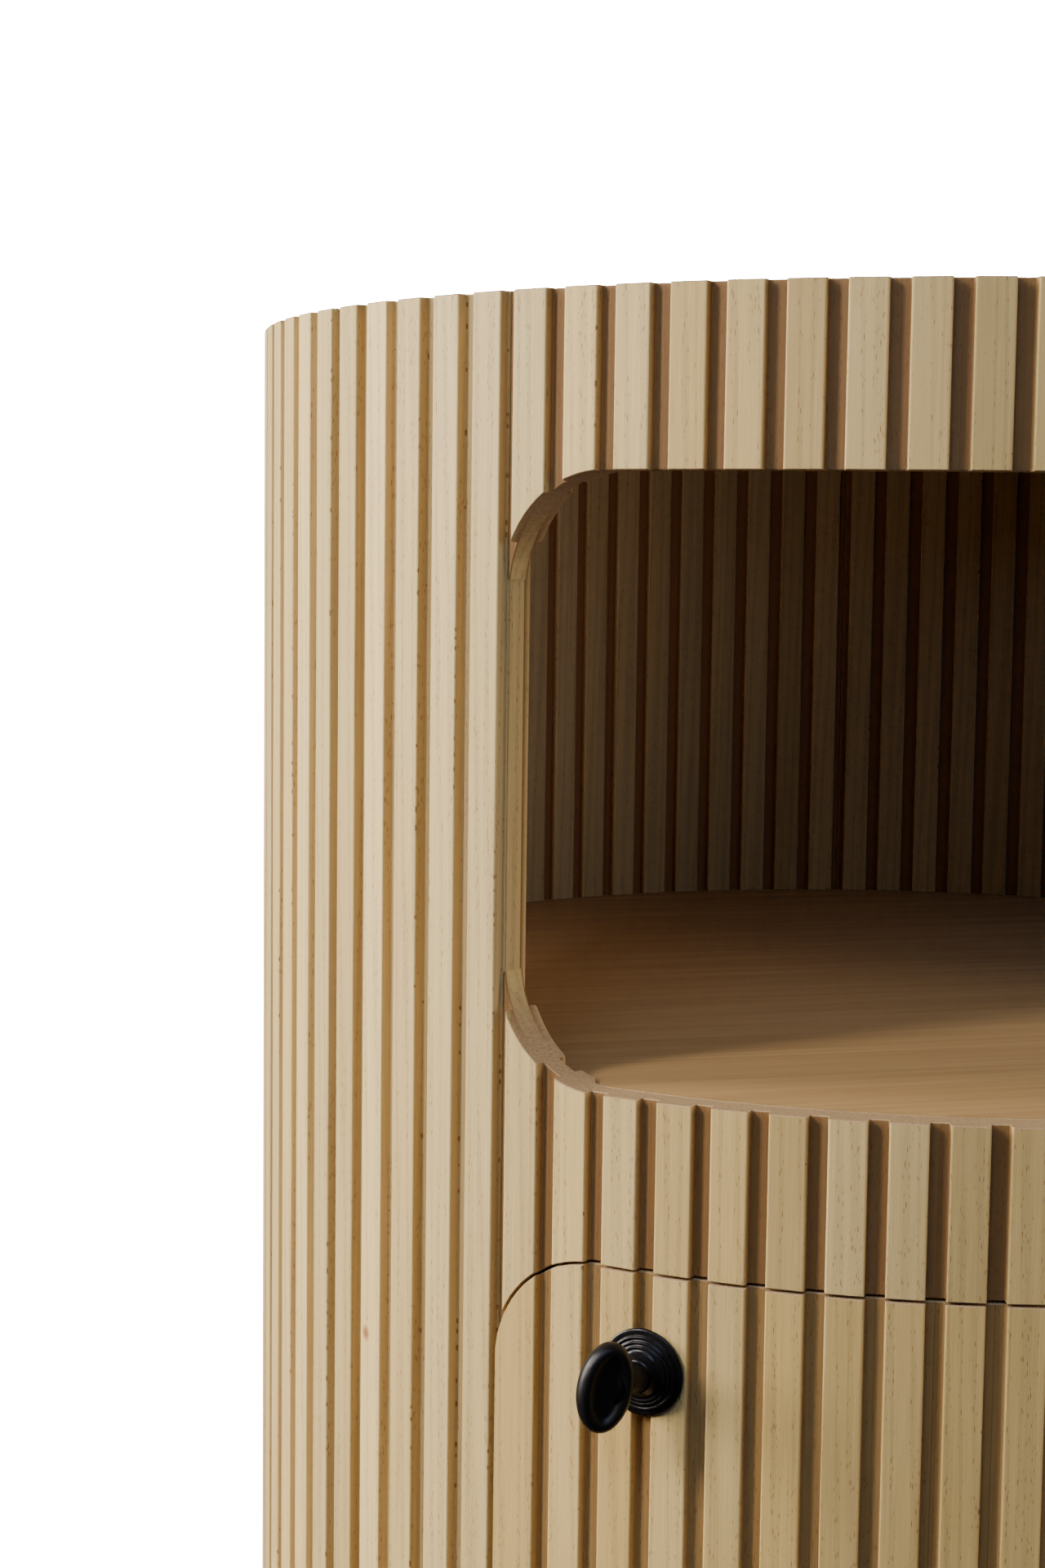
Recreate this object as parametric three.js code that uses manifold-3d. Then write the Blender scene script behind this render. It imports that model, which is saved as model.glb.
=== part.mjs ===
// A round oak cabinet with a fluted stave wall, an open niche and a bow-fronted drawer with two cast knobs.
// Millimetres, +Z up, the front faces -Y. The origin is on the floor, under the middle of the cabinet.
import * as THREE from "three";
import { mergeVertices } from "three/addons/utils/BufferGeometryUtils.js";
import Module from "manifold-3d";

const wasm = await Module();
wasm.setup();

// Whole cabinet
const outerRadius = 290;
const totalHeight = 612;

// Clearances, and the distance under which two points are one
const seam = 0.3;
const runningGap = 0.5;
const drawerGap = 1.1;
const overrun = 5;
const weld = 0.001;

// Fluted wall: staves glued edge to edge, with a rib on the outer and on the inner face
const staveCount = 90;
const panelStaves = 7;
const wallThickness = 18;
const grooveWidth = 3.9;
const grooveFlare = 0.3;
const grooveDepth = 4.2;
const bevelWidth = 2.3;
const bevelDepth = 1.6;

// Two openings of one size in the front, as wide as a number of staves, with rounded corners
const openingStaves = 27;
const topRailHeight = 62;
const middleRailHeight = 60;
const bottomRailHeight = 54;
const nicheCornerRadius = 40;
const drawerCornerRadius = 43;
const cornerSteps = 7;
const stationSpacing = 0.6;

// Round boards, let into the inner ribs of the wall
const boardThickness = 18;
const boardHousingDepth = 5;
const boardSides = 45;

// Glides under the bottom board
const glideHeight = 6;
const glideRadius = 15;
const glideTaper = 2;
const glideInset = 42;
const glideSides = 14;

// Runner boards, which stand between the bottom board and the shelf and carry the slides
const runnerThickness = 15;
const runnerSetBack = 6.8;
const runnerEndSpace = 3;

// Telescopic slides: three nested steel channels on each side
const slideLength = 280;
const slideHeight = 45;
const slideThickness = 12.7;
const slideSteel = 1.2;
const slideLipReach = 9;

// Drawer box
const drawerSideThickness = 12;
const drawerSideLift = 20;
const drawerSideDrop = 55;
const drawerBackReach = 160;
const drawerBackThickness = 12;
const drawerBottomThickness = 6;
const drawerBottomRise = 10;
const drawerBottomHousing = 5;
const drawerArcSteps = 16;
const drawerEdgeEase = 0.6;

// Knobs: a stepped round rosette, a neck and an upright oval head with a dished face
const knobStavesFromEdge = 3;
const knobShift = 0.6;
const knobDrop = 35;
const rosetteRadius = 15.4;
const rosetteHeight = 6.6;
const neckRadius = 5.2;
const headHalfWidth = 9.9;
const headHalfHeight = 15.8;
const headThickness = 8.6;
const knobReach = 32;
const knobTurn = THREE.MathUtils.degToRad(8);
const knobLift = THREE.MathUtils.degToRad(6.8);
const knobSplay = THREE.MathUtils.degToRad(4.8);
const knobSides = 20;

// Knob screws, driven from inside the drawer
const screwRadius = 2;
const screwBoreRadius = 2.3;
const screwSocketRadius = 3;
const screwSocketDepth = 7;
const screwHeadRadius = 6;
const screwHeadHeight = 2.4;
const screwTipReach = 5.5;
const screwSides = 10;

// Places that follow from the sizes
const pitch = (2 * Math.PI) / staveCount;
const innerRadius = outerRadius - wallThickness;
const boardRadius = innerRadius + boardHousingDepth;
const openingHalf = (openingStaves / 2) * pitch + arc(grooveWidth / 2);
const railHeights = topRailHeight + middleRailHeight + bottomRailHeight;
const openingHeight = (totalHeight - glideHeight - railHeights) / 2;
const nicheTop = totalHeight - topRailHeight;
const nicheBottom = nicheTop - openingHeight;
const drawerTop = nicheBottom - middleRailHeight;
const drawerBottom = drawerTop - openingHeight;
const bottomBoardTop = glideHeight + boardThickness;
const shelfUnderside = nicheBottom - boardThickness;
const boxRadius = innerRadius - seam;
const runnerInner = innerRadius * Math.sin(openingHalf) - runnerSetBack;
const runnerHalfLength = Math.sqrt(boxRadius ** 2 - (runnerInner + runnerThickness) ** 2) - runnerEndSpace;
const drawerHalfWidth = runnerInner - slideThickness - 2 * seam;
const drawerSideHeight = openingHeight - drawerSideLift - drawerSideDrop;
const sideBottom = drawerBottom + drawerSideLift;
const slideCentre = sideBottom + drawerSideHeight / 2;

// Finishes
const oak = new THREE.MeshStandardMaterial({ color: 0xd2bb91, roughness: 0.7 });
const boardOak = new THREE.MeshStandardMaterial({ color: 0xb9966a, roughness: 0.65 });
const birchPly = new THREE.MeshStandardMaterial({ color: 0xdcc8a2, roughness: 0.7 });
const castIron = new THREE.MeshStandardMaterial({ color: 0x0b0c0d, roughness: 0.35, metalness: 0.6 });
const zincSteel = new THREE.MeshStandardMaterial({ color: 0xb4b7ba, roughness: 0.35, metalness: 0.9 });
const plastic = new THREE.MeshStandardMaterial({ color: 0x2b2a28, roughness: 0.8 });

// The angle that a length takes up along the outer face
function arc(length) {
  return length / outerRadius;
}

// A point at a distance from the cabinet's axis; angle 0 is the front and +90 degrees is +X
function polar(radius, angle, z) {
  return [radius * Math.sin(angle), -radius * Math.cos(angle), z];
}

function solidOf(geometry) {
  const bare = geometry.index ? geometry.toNonIndexed() : geometry.clone();
  bare.deleteAttribute("normal");
  bare.deleteAttribute("uv");
  const merged = mergeVertices(bare, weld);
  return new wasm.Manifold(
    new wasm.Mesh({
      numProp: 3,
      vertProperties: new Float32Array(merged.attributes.position.array),
      triVerts: new Uint32Array(merged.index.array),
    }),
  );
}

function geometryOf(solid) {
  const made = solid.getMesh();
  const geometry = new THREE.BufferGeometry();
  geometry.setAttribute("position", new THREE.BufferAttribute(made.vertProperties, made.numProp));
  geometry.setIndex(new THREE.BufferAttribute(made.triVerts, 1));
  return geometry;
}

function cutAway(geometry, cutters) {
  return geometryOf(cutters.reduce((rest, cutter) => rest.subtract(solidOf(cutter)), solidOf(geometry)));
}

function named(name, geometry, material) {
  const flat = geometry.index ? geometry.toNonIndexed() : geometry;
  flat.computeVertexNormals();
  const mesh = new THREE.Mesh(flat, material);
  mesh.name = name;
  return mesh;
}

function box(x0, x1, y0, y1, z0, z1) {
  const geometry = new THREE.BoxGeometry(x1 - x0, y1 - y0, z1 - z0);
  return geometry.translate((x0 + x1) / 2, (y0 + y1) / 2, (z0 + z1) / 2);
}

// A turned form about the Z axis, from a profile of [radius, height] pairs
function turned(profile, sides) {
  const points = profile.map(([radius, z]) => new THREE.Vector2(radius, z));
  return new THREE.LatheGeometry(points, sides).rotateX(Math.PI / 2);
}

function disc(radius, z0, z1, sides) {
  return turned([[0, z0], [radius, z0], [radius, z1], [0, z1]], sides);
}

// The ring that houses a round board's edge in the inner ribs
function housing(z0, z1) {
  const near = innerRadius - overrun;
  const far = boardRadius + seam;
  return turned([[near, z0], [far, z0], [far, z1], [near, z1], [near, z0]], boardSides);
}

// A station across the wall: an angle, and how far both faces lie back from the ribs' faces there
function station(angle, setBack) {
  return { angle, setBack };
}

// The six stations of one stave, from its left groove to its right groove
function staveStations(index) {
  const centre = index * pitch;
  const mouth = pitch / 2 - arc(grooveWidth / 2);
  const foot = mouth + arc(grooveFlare);
  const face = mouth - arc(bevelWidth);
  return [
    station(centre - foot, grooveDepth),
    station(centre - mouth, bevelDepth),
    station(centre - face, 0),
    station(centre + face, 0),
    station(centre + mouth, bevelDepth),
    station(centre + foot, grooveDepth),
  ];
}

function stavesBetween(first, last) {
  const stations = [];
  for (let index = first; index <= last; index += 1) {
    stations.push(...staveStations(index));
  }
  return stations;
}

// How far a rounded corner reaches into its opening at an angle
function cornerReach(angle, halfAngle, radius) {
  const along = Math.max((halfAngle - Math.abs(angle)) * outerRadius, 0);
  const left = Math.max(radius - along, 0);
  return radius - Math.sqrt(radius ** 2 - left ** 2);
}

// Adds stations where the rounded corners need them, even in steps of the corner's own arc
function withCorners(stations, halfAngle, radii) {
  const wanted = [];
  for (const radius of radii) {
    for (let step = 1; step < cornerSteps; step += 1) {
      const along = radius * (1 - Math.cos((step / cornerSteps) * (Math.PI / 2)));
      const angle = halfAngle - along / outerRadius;
      wanted.push(angle, -angle);
    }
  }
  const all = [...stations];
  for (const angle of wanted) {
    const near = all.some((other) => Math.abs(other.angle - angle) < arc(stationSpacing));
    const after = stations.findIndex((other) => other.angle > angle);
    if (near || after < 1) continue;
    const from = stations[after - 1];
    const to = stations[after];
    const share = (angle - from.angle) / (to.angle - from.angle);
    all.push(station(angle, from.setBack + share * (to.setBack - from.setBack)));
  }
  return all.sort((one, other) => one.angle - other.angle);
}

// A stretch of fluted wall through the stations, between a lower and an upper edge given by angle
function flutedBand(stations, lower, upper) {
  const positions = [];
  const index = [];
  const quad = (a, b, c, d) => index.push(a, b, c, a, c, d);
  for (const { angle, setBack } of stations) {
    const outer = outerRadius - setBack;
    const inner = innerRadius + setBack;
    positions.push(...polar(outer, angle, lower(angle)), ...polar(outer, angle, upper(angle)));
    positions.push(...polar(inner, angle, lower(angle)), ...polar(inner, angle, upper(angle)));
  }
  const pointCount = 4;
  const [outerLow, outerHigh, innerLow, innerHigh] = [0, 1, 2, 3];
  for (let i = 0; i + 1 < stations.length; i += 1) {
    const here = i * pointCount;
    const next = here + pointCount;
    quad(here + outerLow, next + outerLow, next + outerHigh, here + outerHigh);
    quad(here + innerLow, here + innerHigh, next + innerHigh, next + innerLow);
    quad(here + outerHigh, next + outerHigh, next + innerHigh, here + innerHigh);
    quad(here + outerLow, here + innerLow, next + innerLow, next + outerLow);
  }
  const end = (stations.length - 1) * pointCount;
  quad(outerLow, outerHigh, innerHigh, innerLow);
  quad(end + outerLow, end + innerLow, end + innerHigh, end + outerHigh);
  const geometry = new THREE.BufferGeometry();
  geometry.setAttribute("position", new THREE.Float32BufferAttribute(positions, 3));
  geometry.setIndex(index);
  return geometry;
}

// The wall behind and beside the openings, in panels of glued staves that meet at groove centres
function wallPanels() {
  const firstStave = (openingStaves + 1) / 2;
  const panelCount = Math.round((staveCount - openingStaves) / panelStaves);
  const cutters = [
    housing(glideHeight - overrun, bottomBoardTop + seam),
    housing(shelfUnderside - seam, nicheBottom + seam),
    housing(totalHeight - boardThickness - seam, totalHeight + overrun),
  ];
  const panels = [];
  for (let panel = 0; panel < panelCount; panel += 1) {
    const first = firstStave + panel * panelStaves;
    const last = Math.min(first + panelStaves, staveCount - firstStave + 1) - 1;
    const stations = stavesBetween(first, last);
    if (panel === 0) {
      stations.shift();
    } else {
      stations.unshift(station((first - 1 / 2) * pitch + arc(seam / 2), grooveDepth));
    }
    if (panel === panelCount - 1) {
      stations.pop();
    } else {
      stations.push(station((last + 1 / 2) * pitch - arc(seam / 2), grooveDepth));
    }
    const band = flutedBand(stations, () => glideHeight, () => totalHeight);
    panels.push(named(`wall_panel_${panel + 1}`, cutAway(band, cutters), oak));
  }
  return panels;
}

// A front rail's stations: all staves of the opening, and the glued necks that reach the wall panels
function railStations(radii) {
  const half = (openingStaves - 1) / 2;
  const stations = stavesBetween(-half, half);
  stations.unshift(station(-openingHalf + arc(seam), grooveDepth));
  stations.push(station(openingHalf - arc(seam), grooveDepth));
  return withCorners(stations, openingHalf, radii);
}

const nicheReach = (angle) => cornerReach(angle, openingHalf, nicheCornerRadius);
const drawerReach = (angle) => cornerReach(angle, openingHalf, drawerCornerRadius);

function topRail() {
  const band = flutedBand(railStations([nicheCornerRadius]), (angle) => nicheTop - nicheReach(angle), () => totalHeight);
  const cutter = housing(totalHeight - boardThickness - seam, totalHeight + overrun);
  return named("top_rail", cutAway(band, [cutter]), oak);
}

function middleRail() {
  const band = flutedBand(
    railStations([nicheCornerRadius, drawerCornerRadius]),
    (angle) => drawerTop - drawerReach(angle),
    (angle) => nicheBottom + nicheReach(angle),
  );
  return named("middle_rail", cutAway(band, [housing(shelfUnderside - seam, nicheBottom + seam)]), oak);
}

function bottomRail() {
  const band = flutedBand(
    railStations([drawerCornerRadius]),
    () => glideHeight,
    (angle) => drawerBottom + drawerReach(angle),
  );
  return named("bottom_rail", cutAway(band, [housing(glideHeight - overrun, bottomBoardTop + seam)]), oak);
}

// The drawer's front is cut from the same fluted stock; its end staves keep their full width to the gap
function drawerFront() {
  const half = (openingStaves - 1) / 2;
  const frontHalf = openingHalf - arc(drawerGap);
  const radius = drawerCornerRadius - drawerGap;
  const staves = stavesBetween(-half, half);
  const endStationCount = 3;
  const stations = [
    station(-frontHalf, drawerEdgeEase),
    station(-frontHalf + arc(drawerEdgeEase), 0),
    ...staves.slice(endStationCount, -endStationCount),
    station(frontHalf - arc(drawerEdgeEase), 0),
    station(frontHalf, drawerEdgeEase),
  ];
  const reach = (angle) => cornerReach(angle, frontHalf, radius);
  const band = flutedBand(
    withCorners(stations, frontHalf, [radius]),
    (angle) => drawerBottom + drawerGap + reach(angle),
    (angle) => drawerTop - drawerGap - reach(angle),
  );
  const bores = knobPlaces().map(({ angle, z }) => {
    const bore = disc(screwBoreRadius, -wallThickness - overrun, overrun, screwSides);
    return bore.rotateX(Math.PI / 2).rotateZ(angle).translate(...polar(outerRadius, angle, z));
  });
  return named("drawer_front", cutAway(band, bores), oak);
}

function roundBoards() {
  return [
    named("top_board", disc(boardRadius, totalHeight - boardThickness, totalHeight, boardSides), boardOak),
    named("shelf", disc(boardRadius, shelfUnderside, nicheBottom, boardSides), boardOak),
    named("bottom_board", disc(boardRadius, glideHeight, bottomBoardTop, boardSides), boardOak),
  ];
}

function glides() {
  const top = glideHeight - seam;
  const profile = [[0, 0], [glideRadius - glideTaper, 0], [glideRadius, glideTaper], [glideRadius, top], [0, top]];
  return [1, 3, 5, 7].map((eighth, place) => {
    const mesh = named(`glide_${place + 1}`, turned(profile, glideSides), plastic);
    mesh.position.set(...polar(innerRadius - glideInset, (eighth * Math.PI) / 4, 0));
    return mesh;
  });
}

function runnerBoard(side, name) {
  const [near, far] = [side * runnerInner, side * (runnerInner + runnerThickness)];
  const [x0, x1] = [Math.min(near, far), Math.max(near, far)];
  const [z0, z1] = [bottomBoardTop + seam, shelfUnderside - seam];
  return named(name, box(x0, x1, -runnerHalfLength, runnerHalfLength, z0, z1), birchPly);
}

// A steel channel along Y: its web lies between two distances from the runner board, and its lips reach to a third
function channel(side, webNear, webFar, lipEnd, halfHeight) {
  const lip = halfHeight - slideSteel;
  const [back, web] = lipEnd > webFar ? [webNear, webFar] : [webFar, webNear];
  const outline = [[back, -halfHeight], [lipEnd, -halfHeight], [lipEnd, -lip], [web, -lip]];
  outline.push([web, lip], [lipEnd, lip], [lipEnd, halfHeight], [back, halfHeight]);
  const points = outline.map(([away, z]) => new THREE.Vector2(side * (runnerInner - away), z));
  const extruded = new THREE.ExtrudeGeometry(new THREE.Shape(points), { depth: slideLength, bevelEnabled: false });
  return extruded.rotateX(Math.PI / 2).translate(0, slideLength / 2, slideCentre);
}

function slide(side, word) {
  const near = seam;
  const far = near + slideThickness;
  const half = slideHeight / 2;
  const middleHalf = half - slideSteel - runningGap;
  const drawerHalf = middleHalf - slideSteel - runningGap;
  const middleNear = near + slideSteel + runningGap;
  const middleFar = middleNear + slideSteel;
  const middleLip = far - slideSteel - runningGap;
  const drawerLip = middleFar + runningGap;
  return [
    named(`slide_cabinet_${word}`, channel(side, near, near + slideSteel, near + slideLipReach, half), zincSteel),
    named(`slide_middle_${word}`, channel(side, middleNear, middleFar, middleLip, middleHalf), zincSteel),
    named(`slide_drawer_${word}`, channel(side, far - slideSteel, far, drawerLip, drawerHalf), zincSteel),
  ];
}

// A drawer side runs forward to the curved front, and is grooved for the drawer's bottom
function drawerSide(side, name) {
  const inner = drawerHalfWidth - drawerSideThickness;
  const front = (x) => -Math.sqrt(boxRadius ** 2 - x ** 2);
  const plan = [[inner, front(inner)], [drawerHalfWidth, front(drawerHalfWidth)]];
  plan.push([drawerHalfWidth, drawerBackReach], [inner, drawerBackReach]);
  const shape = new THREE.Shape(plan.map(([x, y]) => new THREE.Vector2(side * x, y)));
  const board = new THREE.ExtrudeGeometry(shape, { depth: drawerSideHeight, bevelEnabled: false });
  board.translate(0, 0, sideBottom);
  const floor = sideBottom + drawerBottomRise;
  const grooveEnds = [side * (inner - overrun), side * (inner + drawerBottomHousing)];
  const groove = box(
    Math.min(...grooveEnds),
    Math.max(...grooveEnds),
    -innerRadius,
    drawerBackReach + overrun,
    floor - seam,
    floor + drawerBottomThickness + seam,
  );
  return named(name, cutAway(board, [groove]), birchPly);
}

function drawerBottomBoard() {
  const half = drawerHalfWidth - drawerSideThickness + drawerBottomHousing - seam;
  const turn = Math.asin(half / boxRadius);
  const shape = new THREE.Shape();
  shape.moveTo(half, drawerBackReach);
  shape.lineTo(-half, drawerBackReach);
  shape.absarc(0, 0, boxRadius, -Math.PI / 2 - turn, -Math.PI / 2 + turn, false);
  shape.closePath();
  const settings = { depth: drawerBottomThickness, bevelEnabled: false, curveSegments: drawerArcSteps };
  const board = new THREE.ExtrudeGeometry(shape, settings);
  return named("drawer_bottom", board.translate(0, 0, sideBottom + drawerBottomRise), birchPly);
}

function drawerBack() {
  const half = drawerHalfWidth - drawerSideThickness - seam;
  const low = sideBottom + drawerBottomRise + drawerBottomThickness + seam;
  const high = sideBottom + drawerSideHeight;
  return named("drawer_back", box(-half, half, drawerBackReach - drawerBackThickness, drawerBackReach, low, high), birchPly);
}

// Each knob stands on a groove, a few staves in from the drawer's edge
function knobPlaces() {
  const angle = (openingStaves / 2 - knobStavesFromEdge) * pitch - arc(knobShift);
  const z = drawerTop - knobDrop;
  return [
    { word: "left", side: -1, angle: -angle, z },
    { word: "right", side: 1, angle, z },
  ];
}

// A form of stacked oval rings, each given as [half width, half height, distance along the axis]
function ringForm(rings, sides) {
  const positions = [];
  const index = [];
  for (const [halfWidth, halfHeight, along] of rings) {
    for (let i = 0; i < sides; i += 1) {
      const turn = (i / sides) * 2 * Math.PI;
      positions.push(halfWidth * Math.cos(turn), halfHeight * Math.sin(turn), along);
    }
  }
  for (let ring = 0; ring + 1 < rings.length; ring += 1) {
    for (let i = 0; i < sides; i += 1) {
      const a = ring * sides + i;
      const b = ring * sides + ((i + 1) % sides);
      index.push(a, b, b + sides, a, b + sides, a + sides);
    }
  }
  const geometry = new THREE.BufferGeometry();
  geometry.setAttribute("position", new THREE.Float32BufferAttribute(positions, 3));
  geometry.setIndex(index);
  return geometryOf(solidOf(geometry));
}

// Rosette profile from rim to crown, as shares of its radius and its height
const rosetteShares = [
  [1, 0.12], [0.97, 0.2], [0.83, 0.26], [0.8, 0.37], [0.76, 0.36], [0.74, 0.3], [0.71, 0.45],
  [0.66, 0.46], [0.65, 0.4], [0.61, 0.56], [0.56, 0.58], [0.46, 0.76], [0.37, 1],
];

function rosette(word) {
  const rim = rosetteShares.map(([out, up]) => [out * rosetteRadius, up * rosetteHeight]);
  const profile = [[screwBoreRadius, 0], [rosetteRadius, 0], ...rim];
  profile.push([screwBoreRadius, rosetteHeight], [screwBoreRadius, 0]);
  return named(`rosette_${word}`, turned(profile, knobSides).translate(0, 0, seam), castIron);
}

// Neck rings as [share of the neck's radius, share of the neck's length]
const neckShares = [[1.04, 0], [0.9, 0.35], [0.94, 0.7], [1.16, 0.92]];

// Head rings from the back round the rim and into the dished face, as [share of half size, share of thickness]
const headShares = [[0.62, 0], [0.86, 0.12], [0.98, 0.38], [1, 0.55], [0.93, 0.84], [0.8, 0.98], [0.68, 1]];
const dishShares = [[0.56, 0.92], [0.47, 0.74], [0.4, 0.69]];

function knob(word) {
  const base = rosetteHeight + seam + seam + neckRadius * Math.sin(knobLift + knobSplay);
  const headBack = knobReach - headThickness;
  const neckLength = headBack - base;
  const oval = ([size, up]) => [size * headHalfWidth, size * headHalfHeight, headBack + up * headThickness];
  const rings = [
    [0, 0, base + screwSocketDepth],
    [screwSocketRadius, screwSocketRadius, base + screwSocketDepth],
    [screwSocketRadius, screwSocketRadius, base],
    ...neckShares.map(([out, up]) => [out * neckRadius, out * neckRadius, base + up * neckLength]),
    ...headShares.map(oval),
    ...dishShares.map(oval),
  ];
  const [, lastUp] = dishShares[dishShares.length - 1];
  rings.push([0, 0, headBack + lastUp * headThickness]);
  return named(`knob_${word}`, ringForm(rings, knobSides), castIron);
}

function knobScrew(word) {
  const seat = -wallThickness - seam - seam / 2;
  const tip = rosetteHeight + screwTipReach;
  const profile = [[0, seat - screwHeadHeight], [screwHeadRadius / 2, seat - screwHeadHeight]];
  profile.push([screwHeadRadius, seat - screwHeadHeight / 2], [screwHeadRadius, seat]);
  profile.push([screwRadius, seat], [screwRadius, tip], [0, tip]);
  return named(`knob_screw_${word}`, turned(profile, screwSides), zincSteel);
}

function knobAssembly({ word, side, angle, z }) {
  const place = new THREE.Group();
  place.position.set(...polar(outerRadius, angle, z));
  place.rotation.set(Math.PI / 2, 0, angle, "ZYX");
  const tilted = new THREE.Group();
  const pivot = new THREE.Vector3(0, 0, rosetteHeight);
  tilted.rotation.set(-knobLift, side * knobSplay, side * knobTurn, "XYZ");
  tilted.position.copy(pivot.clone().sub(pivot.clone().applyEuler(tilted.rotation)));
  tilted.add(knob(word));
  place.add(rosette(word), tilted, knobScrew(word));
  return place;
}

const cabinet = new THREE.Group();
cabinet.add(...wallPanels(), topRail(), middleRail(), bottomRail(), ...roundBoards(), ...glides());
cabinet.add(runnerBoard(-1, "runner_board_left"), runnerBoard(1, "runner_board_right"));
cabinet.add(...slide(-1, "left"), ...slide(1, "right"));

const drawer = new THREE.Group();
drawer.add(drawerFront(), drawerSide(-1, "drawer_side_left"), drawerSide(1, "drawer_side_right"));
drawer.add(drawerBottomBoard(), drawerBack(), ...knobPlaces().map(knobAssembly));
cabinet.add(drawer);

export default cabinet;
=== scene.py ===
"""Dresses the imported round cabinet: fluted oak staves, let-in boards, a birch drawer box, steel slides, cast knobs."""

import math

import bmesh
import bpy
from bpy.props import FloatProperty, FloatVectorProperty, IntProperty, PointerProperty
from mathutils import Euler, Matrix, Vector


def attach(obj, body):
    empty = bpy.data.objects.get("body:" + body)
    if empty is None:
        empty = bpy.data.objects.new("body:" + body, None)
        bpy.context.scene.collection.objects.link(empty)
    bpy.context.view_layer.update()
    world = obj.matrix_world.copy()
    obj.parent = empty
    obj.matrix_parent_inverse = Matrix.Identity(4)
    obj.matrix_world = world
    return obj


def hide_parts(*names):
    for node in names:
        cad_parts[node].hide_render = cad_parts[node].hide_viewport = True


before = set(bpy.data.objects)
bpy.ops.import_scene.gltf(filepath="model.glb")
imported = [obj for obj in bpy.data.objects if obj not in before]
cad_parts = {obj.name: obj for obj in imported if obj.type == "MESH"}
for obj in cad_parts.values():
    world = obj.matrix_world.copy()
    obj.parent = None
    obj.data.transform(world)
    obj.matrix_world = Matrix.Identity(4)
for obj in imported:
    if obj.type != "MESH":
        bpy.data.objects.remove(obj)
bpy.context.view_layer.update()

bl_info = {
    "name": "Round fluted cabinet",
    "version": (1, 0, 0),
    "blender": (4, 5, 0),
    "location": "View3D > Sidebar > Cabinet",
    "description": "Rebuilds the wood, steel and iron pieces of a round fluted cabinet around its packed solids",
    "category": "Object",
}

MM = 0.001


def linear(hex_colour):
    """Turns an sRGB hex colour into linear red, green, blue and alpha."""
    channels = [int(hex_colour[i:i + 2], 16) / 255 for i in (1, 3, 5)]
    return tuple(c / 12.92 if c <= 0.04045 else ((c + 0.055) / 1.055) ** 2.4 for c in channels) + (1.0,)


def colour_property(name, description, hex_colour):
    """A colour that the user can change, from its sRGB hex value."""
    return FloatVectorProperty(name=name, description=description, default=linear(hex_colour)[:3], size=3,
                               min=0.0, max=1.0, subtype="COLOR")


def length_property(name, description, millimetres):
    """A length that the user can change, from its default in millimetres."""
    return FloatProperty(name=name, description=description, default=millimetres * MM, min=0.0,
                         subtype="DISTANCE", unit="LENGTH", precision=4)


class StaveSizes(bpy.types.PropertyGroup):
    """Sizes of the fluted wall and of its openings."""

    count: IntProperty(name="Staves round the wall", description="Staves in a full turn of the wall",
                       default=90, min=12)
    opening_staves: IntProperty(name="Staves across an opening", description="Staves that each front opening takes up",
                                default=27, min=3)
    panel_staves: IntProperty(name="Staves in a wall panel", description="Staves glued up in one panel",
                              default=7, min=1)
    radius: length_property("Outer radius", "From the axis to the face of a rib", 290)
    thickness: length_property("Wall thickness", "From rib face to rib face", 18)
    groove: length_property("Groove width", "Width between the cut sides of two ribs", 3.9)
    foot: length_property("Half groove at its floor", "From the middle of a groove to the foot of a rib", 3.35)
    edge: length_property("Half groove at the face",
                          "From the middle of a groove to where a rib's side would meet its face", 3.5)
    rounding: length_property("Shoulder", "How far the rounded shoulder of a rib reaches along its face", 0.8)
    shoulder_drop: length_property("Shoulder drop", "How far the rounded shoulder of a rib reaches down its side", 0.8)
    depth: length_property("Groove depth", "Depth of a groove below the rib's face", 4.2)
    ease: length_property("Eased edge", "Sanded round on the cut edges", 0.35)
    wander: length_property("Stave wander", "How far a stave may sit to either side of its even place", 0.22)
    end_rib: length_property("End rib", "How much farther out the outermost rib of a rail reaches", 1.1)
    seam: length_property("Seam", "Glue line between panels, rails and boards", 0.3)
    joint: length_property("Jamb joint", "Open joint between a jamb's flat face and its outermost rib", 0.5)


class OpeningSizes(bpy.types.PropertyGroup):
    """Heights of the rails and openings, from the floor up."""

    base: length_property("Base", "Height of the wall's lower edge over the floor", 6)
    drawer_low: length_property("Drawer opening, lower edge", "Height over the floor", 60)
    drawer_high: length_property("Drawer opening, upper edge", "Height over the floor", 275)
    niche_low: length_property("Niche, lower edge", "Height over the floor", 335)
    niche_high: length_property("Niche, upper edge", "Height over the floor", 550)
    top: length_property("Top", "Height of the whole cabinet", 612)
    board: length_property("Board thickness", "Thickness of the round boards", 18)
    housing: length_property("Housing radius", "Radius of the rebates and grooves that house the boards", 277)
    niche_corner: length_property("Niche corner radius", "Radius of the niche's rounded corners", 43)
    drawer_corner: length_property("Drawer corner radius", "Radius of the drawer opening's rounded corners", 43)
    gap: length_property("Drawer gap", "Gap round the drawer's front", 1.0)


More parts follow.
